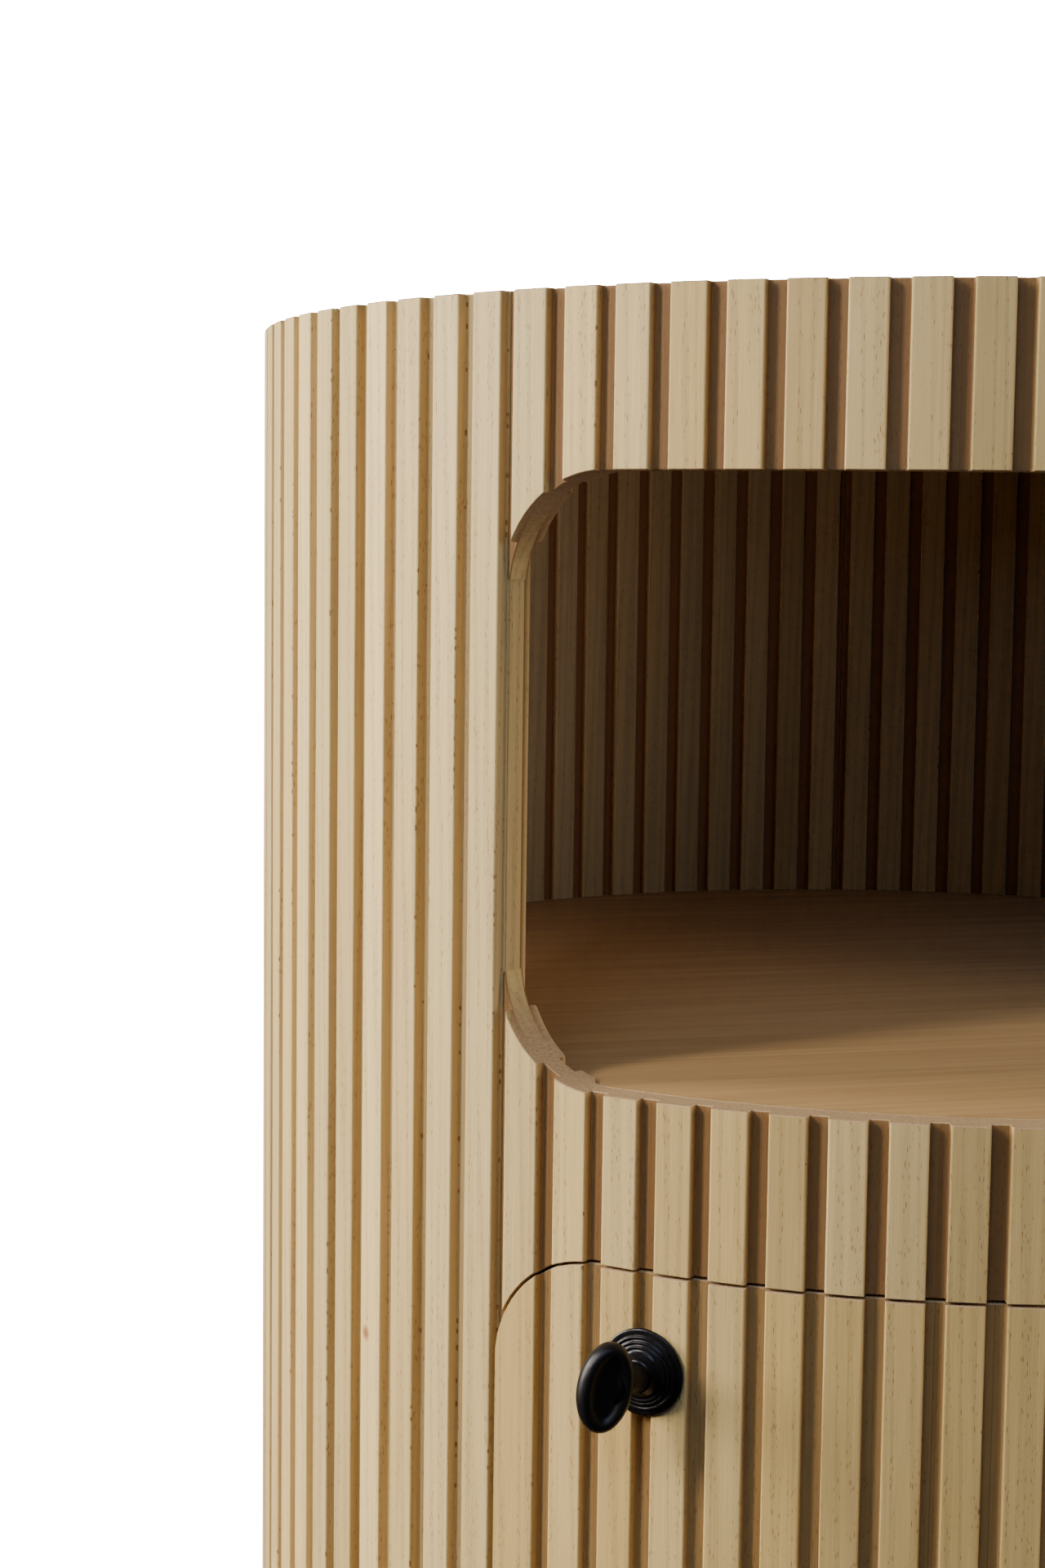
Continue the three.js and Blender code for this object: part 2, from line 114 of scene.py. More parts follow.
class KnobSizes(bpy.types.PropertyGroup):
    """Sizes and lean of a knob."""

    staves_in: IntProperty(name="Staves from the edge", description="Staves between the opening's edge and the knob",
                           default=3)
    shift: length_property("Shift", "How far a knob sits from the groove towards the middle", 0.6)
    drop: length_property("Drop", "From the opening's upper edge to the knob's axis", 35)
    rosette: length_property("Rosette radius", "Radius of the rosette's rim", 15.4)
    rosette_height: length_property("Rosette height", "From the wood to the rosette's crown", 6.6)
    neck: length_property("Neck radius", "Radius of the neck", 5.2)
    half_width: length_property("Head half width", "Half the width of the oval head", 9.9)
    half_height: length_property("Head half height", "Half the height of the oval head", 15.8)
    thickness: length_property("Head thickness", "Thickness of the head's rim", 8.6)
    rim: length_property("Rim width", "Width of the rim round the head's sunk face", 5.2)
    reach: length_property("Reach", "From the wood to the head's face", 32)
    facing: FloatProperty(name="Facing", description="Turn of the head's face towards the middle of the drawer",
                          default=math.radians(50), subtype="ANGLE")
    turn: FloatProperty(name="Turn", description="Turn of the oval about the knob's axis",
                        default=math.radians(8), subtype="ANGLE")
    lift: FloatProperty(name="Lift", description="Upward lean of the neck",
                        default=math.radians(6.8), subtype="ANGLE")
    splay: FloatProperty(name="Splay", description="Outward lean of the neck",
                         default=math.radians(4.8), subtype="ANGLE")


class FinishColours(bpy.types.PropertyGroup):
    """Colours of the finishes."""

    oak_pale: colour_property("Pale oak", "The palest staves", "#D1B577")
    oak_straw: colour_property("Straw oak", "The yellower staves", "#BA9853")
    # Painted shade: this brown is mixed into the grooves for the shade down between the ribs
    oak_groove_shade: colour_property("Oak in the grooves", "Oiled oak down in the grooves", "#7A532B")
    oak_pore: colour_property("Oak pores", "The open pores of the oak", "#7E5830")
    oak_knot: colour_property("Oak knot", "The reddish heart of a pin knot", "#8A4A2C")
    oak_cut: colour_property("Oak end grain", "Oak across its end grain", "#A88B63")
    board_pale: colour_property("Board oak", "The let-in boards", "#B3925F")
    board_dark: colour_property("Board oak, dark streaks", "Darker streaks of the let-in boards", "#A17E4E")
    birch: colour_property("Birch", "Bare birch plywood", "#DCC8A2")
    iron: colour_property("Black iron", "Satin black on cast iron", "#0E0C0C")
    zinc: colour_property("Zinc", "Zinc plate on steel", "#B4B7BA")
    plastic: colour_property("Black plastic", "Moulded glides", "#2B2A28")


# Small tools

def add(tree, kind, inputs=None, **settings):
    """Adds a node, sets its properties, and sets or links its inputs, which are named or numbered."""
    node = tree.nodes.new(kind)
    for key, value in settings.items():
        setattr(node, key, value)
    for key, value in (inputs or {}).items():
        named = [s for s in node.inputs if s.enabled and s.name == key]
        socket = named[0] if named else node.inputs[key]
        if isinstance(value, bpy.types.Node):
            value = next(s for s in value.outputs if s.enabled)
        if isinstance(value, bpy.types.NodeSocket):
            tree.links.new(value, socket)
        else:
            socket.default_value = value
    return node


def empty_material(name):
    """A new material and its node tree, with no nodes in it yet."""
    material = bpy.data.materials.new(name)
    material.use_nodes = True
    material.node_tree.nodes.clear()
    return material, material.node_tree


def chance(index, salt):
    """An even spread of numbers from -1 to 1, always the same for one index and salt."""
    value = math.sin(index * 127.1 + salt * 311.7 + 74.7) * 43758.5453
    return 2 * (value - math.floor(value)) - 1


def mesh_object(name, points, faces, material, smooth=False):
    """Makes an object of points in metres and faces, with its normals facing out."""
    mesh = bpy.data.meshes.new(name)
    mesh.from_pydata(points, [], faces)
    work = bmesh.new()
    work.from_mesh(mesh)
    bmesh.ops.recalc_face_normals(work, faces=work.faces)
    for face in work.faces:
        face.smooth = smooth
    work.to_mesh(mesh)
    work.free()
    mesh.materials.append(material)
    piece = bpy.data.objects.new(name, mesh)
    bpy.context.scene.collection.objects.link(piece)
    return piece


def loft(name, loops, material, smooth=False):
    """Joins loops of equal length, one after the other, into one closed skin."""
    size = len(loops[0])
    points = [point for loop in loops for point in loop]
    faces = []
    for i in range(len(loops) - 1):
        for j in range(size):
            a, b = i * size + j, i * size + (j + 1) % size
            faces.append((a, b, b + size, a + size))
    faces.append(tuple(range(size)))
    faces.append(tuple(len(points) - 1 - j for j in range(size)))
    return mesh_object(name, points, faces, material, smooth)


def finish_piece(piece, body, slot, *nodes):
    """Puts a piece on its body and in the place of the CAD nodes that it dresses; the slot is not used."""
    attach(piece, body)
    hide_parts(*nodes)


def wear(node, material):
    """Gives a CAD node's object one material."""
    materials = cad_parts[node].data.materials
    materials.clear()
    materials.append(material)


# Staves

# Steps along the rounded shoulder of a rib, from its side to its face
ROUNDING_STEPS = (0, 0.25, 0.5, 0.75, 1)
# Stations on one side of a rib: two at its foot, then its shoulder
SIDE_STATIONS = len(ROUNDING_STEPS) + 2
# Steps round a quarter turn of an opening's corner
CORNER_STEPS = 18
# Stations nearer to each other than this would leave slivers
SLIVER = 0.3 * MM


def pitch(staves):
    """Angle from one stave to the next."""
    return 2 * math.pi / staves.count


def opening_half(staves):
    """Half the angle that an opening takes up."""
    return staves.opening_staves / 2 * pitch(staves) + staves.groove / 2 / staves.radius


def stave_stations(staves, index, salt):
    """Angles across one stave with the set-back of its faces there: groove floor, sloping side and flat face."""
    half, radius = pitch(staves) / 2, staves.radius
    drift = chance(index, salt) * staves.wander
    side_length = math.hypot(staves.edge - staves.foot, staves.depth)
    in_x, in_y = (staves.edge - staves.foot) / side_length, staves.depth / side_length
    steps = [(staves.foot - staves.ease, staves.depth),
             (staves.foot + in_x * staves.ease, staves.depth - in_y * staves.ease)]
    for t in ROUNDING_STEPS:
        below, beyond = (1 - t) ** 2 * staves.shoulder_drop, t ** 2 * staves.rounding
        steps.append((staves.edge - in_x * below + beyond, in_y * below))
    centre = index * 2 * half
    left = [(centre - half + (across + drift) / radius, back) for across, back in steps]
    right = [(centre + half - (across - drift) / radius, back) for across, back in reversed(steps)]
    return left + right


def stations_between(staves, first, last, salt):
    """Stations of a run of staves, from the first to the last."""
    return [station for index in range(first, last + 1) for station in stave_stations(staves, index, salt)]


def corner_reach(angle, half, radius, outer):
    """How far a rounded corner comes into its opening at an angle."""
    left = max(radius - max((half - abs(angle)) * outer, 0.0), 0.0)
    return radius - math.sqrt(max(radius ** 2 - left ** 2, 0.0))


def with_corners(stations, half, radii, outer):
    """Adds stations round the corners, in even steps of each corner's own arc."""
    extra = []
    for radius in radii:
        for step in range(1, CORNER_STEPS):
            along = radius * (1 - math.cos(step / CORNER_STEPS * math.pi / 2))
            extra += [half - along / outer, along / outer - half]
    result = list(stations)
    for angle in extra:
        if min(abs(angle - other) for other, _ in result) < SLIVER / outer:
            continue
        after = next((i for i, (other, _) in enumerate(stations) if other > angle), 0)
        if after < 1:
            continue
        (a0, b0), (a1, b1) = stations[after - 1], stations[after]
        result.append((angle, b0 + (b1 - b0) * (angle - a0) / (a1 - a0)))
    return sorted(result)


def polar(radius, angle, height):
    """A point by its radius, its angle from the front and its height."""
    return (radius * math.sin(angle), -radius * math.cos(angle), height)


def fluted_piece(name, stations, section, material):
    """Lofts a section, which gives (radius, height) pairs from an angle and a set-back, through the stations."""
    loops = [[polar(r, angle, z) for r, z in section(angle, back)] for angle, back in stations]
    return loft(name, loops, material)


# Materials

# Repeats of the oak's patterns to the millimetre: across a stave, into it and along it
RINGS_PER_MM = (0.3, 0.3, 0.006)
FIBRES_PER_MM = (3.2, 3.2, 0.028)
CLOUDS_PER_MM = (0.07, 0.07, 0.01)
RAYS_PER_MM = (3.0, 0.5, 0.4)
# Cells of the pores to the millimetre, across and along; the third isn't used by a flat pattern
PORES_PER_MM = (1.5, 0.2, 1.0)
# How far the grain of one stave may start from that of the next, in millimetres
GRAIN_SPREAD = (400.0, 300.0, 900.0)
# The pin knot: the place of its heart in metres, its width over its length, and where it begins to fade and ends
KNOT_HEART = (-0.2699, -0.1061, 0.2243)
KNOT_WAIST = 0.75
KNOT_CORE, KNOT_RIM = 1.0 * MM, 2.8 * MM


def oak_material(name, staves, colours, lot, yellow, groove_shade_amount):
    """Brushed and oiled oak in staves: pale straw ribs with short open pores, with painted shade that browns the
    grooves and darkens the inside.

    The lot sets the random draws, yellow is the staves' mean tone between pale and straw, and groove_shade_amount is
    how much of the painted groove shade shows at the floors of the outer grooves; the inner grooves take all of it.
    """
    material, tree = empty_material(name)
    place = add(tree, "ShaderNodeTexCoord")
    axes = add(tree, "ShaderNodeSeparateXYZ", {0: place.outputs["Object"]})
    back = add(tree, "ShaderNodeMath", {0: axes.outputs["Y"], 1: -1.0}, operation="MULTIPLY")
    angle = add(tree, "ShaderNodeMath", {0: axes.outputs["X"], 1: back}, operation="ARCTAN2")
    turns = add(tree, "ShaderNodeMath", {0: angle, 1: 1 / pitch(staves)}, operation="MULTIPLY")
    index = add(tree, "ShaderNodeMath", {0: turns}, operation="ROUND")
    across = add(tree, "ShaderNodeMath", {0: turns, 1: index}, operation="SUBTRACT")
    stave_width = pitch(staves) * staves.radius / MM
    across_mm = add(tree, "ShaderNodeMath", {0: across, 1: stave_width}, operation="MULTIPLY")
    flat = add(tree, "ShaderNodeCombineXYZ", {"X": axes.outputs["X"], "Y": axes.outputs["Y"]})
    radius = add(tree, "ShaderNodeVectorMath", {0: flat}, operation="LENGTH")
    radius_mm = add(tree, "ShaderNodeMath", {0: radius.outputs["Value"], 1: 1 / MM}, operation="MULTIPLY")
    height_mm = add(tree, "ShaderNodeMath", {0: axes.outputs["Z"], 1: 1 / MM}, operation="MULTIPLY")
    seed = add(tree, "ShaderNodeMath", {0: index, 1: lot}, operation="ADD")
    chances = add(tree, "ShaderNodeTexWhiteNoise", {"W": seed}, noise_dimensions="1D")
    chance_parts = add(tree, "ShaderNodeSeparateColor", {0: chances.outputs["Color"]})

    # Each stave is its own piece of wood, so its grain starts from another place
    start = add(tree, "ShaderNodeVectorMath", {0: chances.outputs["Color"], 1: GRAIN_SPREAD}, operation="MULTIPLY")
    board = add(tree, "ShaderNodeCombineXYZ", {"X": across_mm, "Y": radius_mm, "Z": height_mm})
    wood = add(tree, "ShaderNodeVectorMath", {0: board, 1: start}, operation="ADD")

    # Growth rings, some 6 mm apart, drawn out along the stave
    ring_space = add(tree, "ShaderNodeMapping", {"Vector": wood, "Scale": RINGS_PER_MM})
    rings = add(tree, "ShaderNodeTexWave", {"Vector": ring_space, "Scale": 0.35, "Distortion": 7.0, "Detail": 3.0,
                                            "Detail Scale": 1.6}, wave_type="BANDS", bands_direction="DIAGONAL")
    # Fibres, 0.3 mm wide and some 40 mm long
    fibre_space = add(tree, "ShaderNodeMapping", {"Vector": wood, "Scale": FIBRES_PER_MM})
    fibres = add(tree, "ShaderNodeTexNoise", {"Vector": fibre_space, "Scale": 1.0, "Detail": 4.0, "Roughness": 0.7})
    # Pores, up to 0.35 mm wide and 2.5 mm long, one to a cell and of uneven size, thickest in each ring's early wood
    parts = add(tree, "ShaderNodeSeparateXYZ", {0: wood})
    lengthwise = add(tree, "ShaderNodeMath", {0: parts.outputs["X"], 1: parts.outputs["Y"]}, operation="ADD")
    pore_place = add(tree, "ShaderNodeCombineXYZ", {"X": lengthwise, "Y": parts.outputs["Z"]})
    pore_space = add(tree, "ShaderNodeMapping", {"Vector": pore_place, "Scale": PORES_PER_MM})
    cells = add(tree, "ShaderNodeTexVoronoi", {"Vector": pore_space, "Scale": 1.0}, voronoi_dimensions="2D")
    cell_parts = add(tree, "ShaderNodeSeparateColor", {0: cells.outputs["Color"]})
    pore_size = add(tree, "ShaderNodeMapRange", {"Value": cell_parts.outputs["Red"], "From Min": 0.25, "To Max": 0.27})
    early = add(tree, "ShaderNodeMapRange", {"Value": rings.outputs["Fac"], "From Min": 0.3, "From Max": 0.9,
                                             "To Min": 0.35})
    pore_reach = add(tree, "ShaderNodeMath", {0: pore_size, 1: early}, operation="MULTIPLY")
    pore_edge = add(tree, "ShaderNodeMath", {0: pore_reach, 1: cells.outputs["Distance"]}, operation="SUBTRACT")
    pore = add(tree, "ShaderNodeMapRange", {"Value": pore_edge, "From Max": 0.07})
    # Slow changes of tone, some 15 mm wide and 100 mm long
    cloud_space = add(tree, "ShaderNodeMapping", {"Vector": wood, "Scale": CLOUDS_PER_MM})
    clouds = add(tree, "ShaderNodeTexNoise", {"Vector": cloud_space, "Scale": 1.0, "Detail": 2.0})

    tone = add(tree, "ShaderNodeMapRange", {"Value": chance_parts.outputs["Red"],
                                            "To Min": yellow - 0.2, "To Max": yellow + 0.2})
    tone_cloud = add(tree, "ShaderNodeMath", {0: clouds.outputs["Fac"], 1: 0.5, 2: -0.25}, operation="MULTIPLY_ADD")
    tone_all = add(tree, "ShaderNodeMath", {0: tone, 1: tone_cloud}, operation="ADD", use_clamp=True)
    base = add(tree, "ShaderNodeMix", {"Factor": tone_all, "A": (*colours.oak_pale, 1), "B": (*colours.oak_straw, 1)},
               data_type="RGBA")
    depth_of_tone = add(tree, "ShaderNodeMapRange", {"Value": chance_parts.outputs["Green"],
                                                     "To Min": 0.84, "To Max": 1.08})
    grain = add(tree, "ShaderNodeMapRange", {"Value": fibres.outputs["Fac"], "From Min": 0.3, "From Max": 0.7,
                                             "To Min": 0.83, "To Max": 1.12})
    ring_tone = add(tree, "ShaderNodeMapRange", {"Value": rings.outputs["Fac"], "From Min": 0.45,
                                                 "To Min": 1.03, "To Max": 0.89})

    # Painted shade: faces that look inwards are drawn at 0.6 of their brightness, standing in for the shade inside the
    # wall; the product is from -0.29 to 0.29
    inwards = add(tree, "ShaderNodeVectorMath", {0: place.outputs["Normal"], 1: flat}, operation="DOT_PRODUCT")
    inward_painted_shade = add(tree, "ShaderNodeMapRange", {"Value": inwards.outputs["Value"], "From Min": -0.25, "From Max": -0.15,
                                              "To Min": 0.6})
    shade = add(tree, "ShaderNodeMath", {0: grain, 1: ring_tone}, operation="MULTIPLY")
    shade_out = add(tree, "ShaderNodeMath", {0: shade, 1: depth_of_tone}, operation="MULTIPLY")
    shade_all = add(tree, "ShaderNodeMath", {0: shade_out, 1: inward_painted_shade}, operation="MULTIPLY")
    ribs = add(tree, "ShaderNodeVectorMath", {0: base, "Scale": shade_all}, operation="SCALE")
    pore_tint = add(tree, "ShaderNodeMath", {0: pore, 1: 0.85}, operation="MULTIPLY")
    pored = add(tree, "ShaderNodeMix", {"Factor": pore_tint, "A": ribs, "B": (*colours.oak_pore, 1)}, data_type="RGBA")

    # A pin knot, some 4 mm wide, on one stave of the left side
    squashed = (1.0, 1.0, KNOT_WAIST)
    heart = tuple(part * scale for part, scale in zip(KNOT_HEART, squashed))
    knot_space = add(tree, "ShaderNodeMapping", {"Vector": place.outputs["Object"], "Scale": squashed})
    knot_gap = add(tree, "ShaderNodeVectorMath", {0: knot_space, 1: heart}, operation="DISTANCE")
    knot = add(tree, "ShaderNodeMapRange", {"Value": knot_gap.outputs["Value"], "From Min": KNOT_CORE,
                                            "From Max": KNOT_RIM, "To Min": 0.8, "To Max": 0.0})
    knotted = add(tree, "ShaderNodeMix", {"Factor": knot, "A": pored, "B": (*colours.oak_knot, 1)}, data_type="RGBA")

    # The glue joint of two staves shows as a dark line, up to 0.7 mm wide, down the middle of some grooves
    from_middle = add(tree, "ShaderNodeMath", {0: across_mm}, operation="ABSOLUTE")
    from_joint = add(tree, "ShaderNodeMath", {0: stave_width / 2, 1: from_middle}, operation="SUBTRACT")
    half_joint = add(tree, "ShaderNodeMapRange", {"Value": chance_parts.outputs["Blue"], "From Min": 0.4,
                                                  "To Max": 0.35})
    joint_edge = add(tree, "ShaderNodeMath", {0: half_joint, 1: from_joint}, operation="SUBTRACT")
    joint = add(tree, "ShaderNodeMapRange", {"Value": joint_edge, "From Max": 0.1, "To Max": 0.7})

    # Cut faces: darker end grain, hatched by its rays
    upright = add(tree, "ShaderNodeSeparateXYZ", {0: place.outputs["Normal"]})
    level = add(tree, "ShaderNodeMath", {0: upright.outputs["Z"]}, operation="ABSOLUTE")
    cut = add(tree, "ShaderNodeMapRange", {"Value": level, "From Min": 0.25, "From Max": 0.7})
    ray_space = add(tree, "ShaderNodeMapping", {"Vector": wood, "Rotation": (0.0, 0.0, 0.7), "Scale": RAYS_PER_MM})
    rays = add(tree, "ShaderNodeTexNoise", {"Vector": ray_space, "Scale": 1.0, "Detail": 3.0, "Roughness": 0.7})
    hatch = add(tree, "ShaderNodeMapRange", {"Value": rays.outputs["Fac"], "From Min": 0.35, "From Max": 0.65,
                                             "To Min": 0.72, "To Max": 1.25})
    end_grain = add(tree, "ShaderNodeVectorMath", {0: tuple(colours.oak_cut), "Scale": hatch}, operation="SCALE")

    # Grooves: painted shade browns the ribs' sides and floors the deeper they lie, most of all on the inside
    outer_mm, inner_mm = staves.radius / MM, (staves.radius - staves.thickness) / MM
    depth_mm = staves.depth / MM
    from_outer = add(tree, "ShaderNodeMath", {0: outer_mm, 1: radius_mm}, operation="SUBTRACT")
    from_inner = add(tree, "ShaderNodeMath", {0: radius_mm, 1: inner_mm}, operation="SUBTRACT")
    down = add(tree, "ShaderNodeMath", {0: from_outer, 1: from_inner}, operation="MINIMUM")
    groove_shade_here = add(tree, "ShaderNodeMapRange", {"Value": from_inner, "From Min": depth_mm,
                                                  "From Max": depth_mm + 1.0, "To Min": 1.0, "To Max": groove_shade_amount})
    deep_groove_shade = add(tree, "ShaderNodeMapRange", {"Value": down, "From Min": 1.0, "From Max": 3.6, "To Max": groove_shade_here})
    shallow = add(tree, "ShaderNodeMapRange", {"Value": down, "From Min": depth_mm + 0.2, "From Max": depth_mm + 1.0,
                                               "To Min": 1.0, "To Max": 0.0})
    groove = add(tree, "ShaderNodeMath", {0: deep_groove_shade, 1: shallow}, operation="MULTIPLY")
    groove_shade_tint = add(tree, "ShaderNodeMix", {"Factor": groove, "A": knotted, "B": (*colours.oak_groove_shade, 1)},
                      data_type="RGBA")
    jointed = add(tree, "ShaderNodeMix", {"Factor": joint, "A": groove_shade_tint, "B": (*colours.oak_pore, 1)},
                  data_type="RGBA")
    colour = add(tree, "ShaderNodeMix", {"Factor": cut, "A": jointed, "B": end_grain}, data_type="RGBA")

    rise = add(tree, "ShaderNodeMath", {0: fibres.outputs["Fac"], 1: 0.5}, operation="MULTIPLY")
    relief = add(tree, "ShaderNodeMath", {0: rise, 1: pore}, operation="SUBTRACT")
    bump = add(tree, "ShaderNodeBump", {"Height": relief, "Strength": 0.4, "Distance": 0.3 * MM})
    shader = add(tree, "ShaderNodeBsdfPrincipled", {"Base Color": colour, "Roughness": 0.58, "IOR": 1.46,
                                                    "Specular IOR Level": 0.35, "Normal": bump})
    add(tree, "ShaderNodeOutputMaterial", {"Surface": shader})
    return material


def board_material(name, pale, dark, along, roughness, streak_mm=3.5):
    """Sanded board: fine straight grain along one axis, faint darker streaks and pale hairlines.

    The fibres are 0.9 mm wide and some 45 mm long, coarser than real ones so that they show.
    """
    material, tree = empty_material(name)
    place = add(tree, "ShaderNodeTexCoord")
    stretch = [1 / MM] * 3
    stretch["XYZ".index(along)] = 0.02 / MM
    space = add(tree, "ShaderNodeMapping", {"Vector": place.outputs["Object"], "Scale": stretch})
    fibres = add(tree, "ShaderNodeTexNoise", {"Vector": space, "Scale": 1.1, "Detail": 5.0, "Roughness": 0.7})
    streaks = add(tree, "ShaderNodeTexNoise", {"Vector": space, "Scale": 1 / streak_mm, "Detail": 3.0})
    tone = add(tree, "ShaderNodeMapRange", {"Value": streaks.outputs["Fac"], "From Min": 0.3, "From Max": 0.75})
    base = add(tree, "ShaderNodeMix", {"Factor": tone, "A": (*pale, 1), "B": (*dark, 1)}, data_type="RGBA")
    grain = add(tree, "ShaderNodeMapRange", {"Value": fibres.outputs["Fac"], "From Min": 0.3, "From Max": 0.7,
                                             "To Min": 0.9, "To Max": 1.08})
    hairs = add(tree, "ShaderNodeTexNoise", {"Vector": space, "Scale": 2.3, "Detail": 1.0})
    hair = add(tree, "ShaderNodeMapRange", {"Value": hairs.outputs["Fac"], "From Min": 0.66, "From Max": 0.72,
                                            "To Max": 0.16})
    shade = add(tree, "ShaderNodeMath", {0: grain, 1: hair}, operation="ADD")
    colour = add(tree, "ShaderNodeVectorMath", {0: base, "Scale": shade}, operation="SCALE")
    bump = add(tree, "ShaderNodeBump", {"Height": fibres.outputs["Fac"], "Strength": 0.2, "Distance": 0.2 * MM})
    shader = add(tree, "ShaderNodeBsdfPrincipled", {"Base Color": colour, "Roughness": roughness, "IOR": 1.46,
                                                    "Normal": bump})
    add(tree, "ShaderNodeOutputMaterial", {"Surface": shader})
    return material


def iron_material(name, colours, roughness, pebbling):
    """Cast iron in satin black: a near-black skin with small bright highlights, pebbled by the sand of its mould."""
    material, tree = empty_material(name)
    place = add(tree, "ShaderNodeTexCoord")
    # Sand-cast pebbling, some 0.8 mm across, over slow changes of gloss some 4 mm across
    pebbles = add(tree, "ShaderNodeTexNoise", {"Vector": place.outputs["Object"], "Scale": 1.2 / MM, "Detail": 3.0})
    mottling = add(tree, "ShaderNodeTexNoise", {"Vector": place.outputs["Object"], "Scale": 0.26 / MM, "Detail": 2.0})
    rough = add(tree, "ShaderNodeMapRange", {"Value": mottling.outputs["Fac"], "From Min": 0.3, "From Max": 0.7,
                                             "To Min": roughness - 0.06, "To Max": roughness + 0.06})
    bump = add(tree, "ShaderNodeBump", {"Height": pebbles.outputs["Fac"], "Strength": pebbling, "Distance": 0.2 * MM})
    shader = add(tree, "ShaderNodeBsdfPrincipled", {"Base Color": (*colours.iron, 1), "Roughness": rough, "IOR": 1.5,
                                                    "Specular IOR Level": 0.35, "Normal": bump})
    add(tree, "ShaderNodeOutputMaterial", {"Surface": shader})
    return material


def zinc_material(name, colours):
    """Zinc-plated rolled steel: a cool grey metal with faint rolling lines, 0.7 mm wide, along its length."""
    material, tree = empty_material(name)
    place = add(tree, "ShaderNodeTexCoord")
    space = add(tree, "ShaderNodeMapping", {"Vector": place.outputs["Object"],
                                            "Scale": (1.5 / MM, 0.02 / MM, 1.5 / MM)})
    lines = add(tree, "ShaderNodeTexNoise", {"Vector": space, "Scale": 1.0, "Detail": 3.0})
    rough = add(tree, "ShaderNodeMapRange", {"Value": lines.outputs["Fac"], "From Min": 0.3, "From Max": 0.7,
                                             "To Min": 0.28, "To Max": 0.46})
    bump = add(tree, "ShaderNodeBump", {"Height": lines.outputs["Fac"], "Strength": 0.1, "Distance": 0.1 * MM})
    shader = add(tree, "ShaderNodeBsdfPrincipled", {"Base Color": (*colours.zinc, 1), "Metallic": 1.0,
                                                    "Roughness": rough, "Normal": bump})
    add(tree, "ShaderNodeOutputMaterial", {"Surface": shader})
    return material


def plastic_material(name, colours):
    """Moulded polypropylene glide: dull black with a spark-eroded grain, drawn 0.6 mm coarse to show."""
    material, tree = empty_material(name)
    place = add(tree, "ShaderNodeTexCoord")
    grain = add(tree, "ShaderNodeTexNoise", {"Vector": place.outputs["Object"], "Scale": 1.6 / MM, "Detail": 2.0})
    bump = add(tree, "ShaderNodeBump", {"Height": grain.outputs["Fac"], "Strength": 0.2, "Distance": 0.1 * MM})
    shader = add(tree, "ShaderNodeBsdfPrincipled", {"Base Color": (*colours.plastic, 1), "Roughness": 0.6, "IOR": 1.49,
                                                    "Normal": bump})
    add(tree, "ShaderNodeOutputMaterial", {"Surface": shader})
    return material


# Operators

class CABINET_OT_wall(bpy.types.Operator):
    """Build the fluted side and back wall in its glued panels"""

    bl_idname = "cabinet.wall"
    bl_label = "Fluted wall"

    def execute(self, context):
        staves, heights = context.scene.stave_sizes, context.scene.opening_sizes
        oak = oak_material("oak_wall_oiled_painted_shade", staves, context.scene.finish_colours, lot=0.0, yellow=0.1, groove_shade_amount=0.25)
        inner = staves.radius - staves.thickness
        ease, seam, housing = staves.ease, staves.seam, heights.housing
        low, high = heights.base, heights.top
        board_top = low + heights.board + seam
        shelf_low, shelf_high = heights.niche_low - heights.board - seam, heights.niche_low + seam
        top_low = high - heights.board - seam

        def section(angle, back):
            """Up the wall's outer face, over its top and down its inner face, in and out of the boards' housings"""
            out, rib = staves.radius - back, inner + back
            return [(out, low + ease), (out, high - ease), (out - ease, high), (housing, high), (housing, top_low),
                    (rib, top_low), (rib, shelf_high), (housing, shelf_high), (housing, shelf_low), (rib, shelf_low),
                    (rib, board_top), (housing, board_top), (housing, low), (out - ease, low)]

        first_stave = (staves.opening_staves + 1) // 2
        panels = (staves.count - staves.opening_staves) // staves.panel_staves
        start, end = opening_half(staves), 2 * math.pi - opening_half(staves)
        # Between a jamb's flat face and its first rib the joint stands open, deeper than a groove
        open_joint, sunk = staves.joint / staves.radius, staves.depth + 2 * staves.joint
        half_seam = seam / 2 / staves.radius
        for panel in range(panels):
            first = first_stave + panel * staves.panel_staves
            last = first + staves.panel_staves - 1
            stations = stations_between(staves, first, last, salt=1)
            if panel == 0:
                joint = start + open_joint
                stations = [(start, sunk), (joint, sunk), (joint, staves.depth), *(s for s in stations if s[0] > joint)]
            else:
                stations.insert(0, ((first - 0.5) * pitch(staves) + half_seam, staves.depth))
            if panel == panels - 1:
                joint = end - open_joint
                stations = [*(s for s in stations if s[0] < joint), (joint, staves.depth), (joint, sunk), (end, sunk)]
            else:
                stations.append(((last + 0.5) * pitch(staves) - half_seam, staves.depth))
            piece = fluted_piece(f"staves_{panel + 1}", stations, section, oak)
            finish_piece(piece, "cabinet", "oak_staves", f"wall_panel_{panel + 1}")
        return {"FINISHED"}


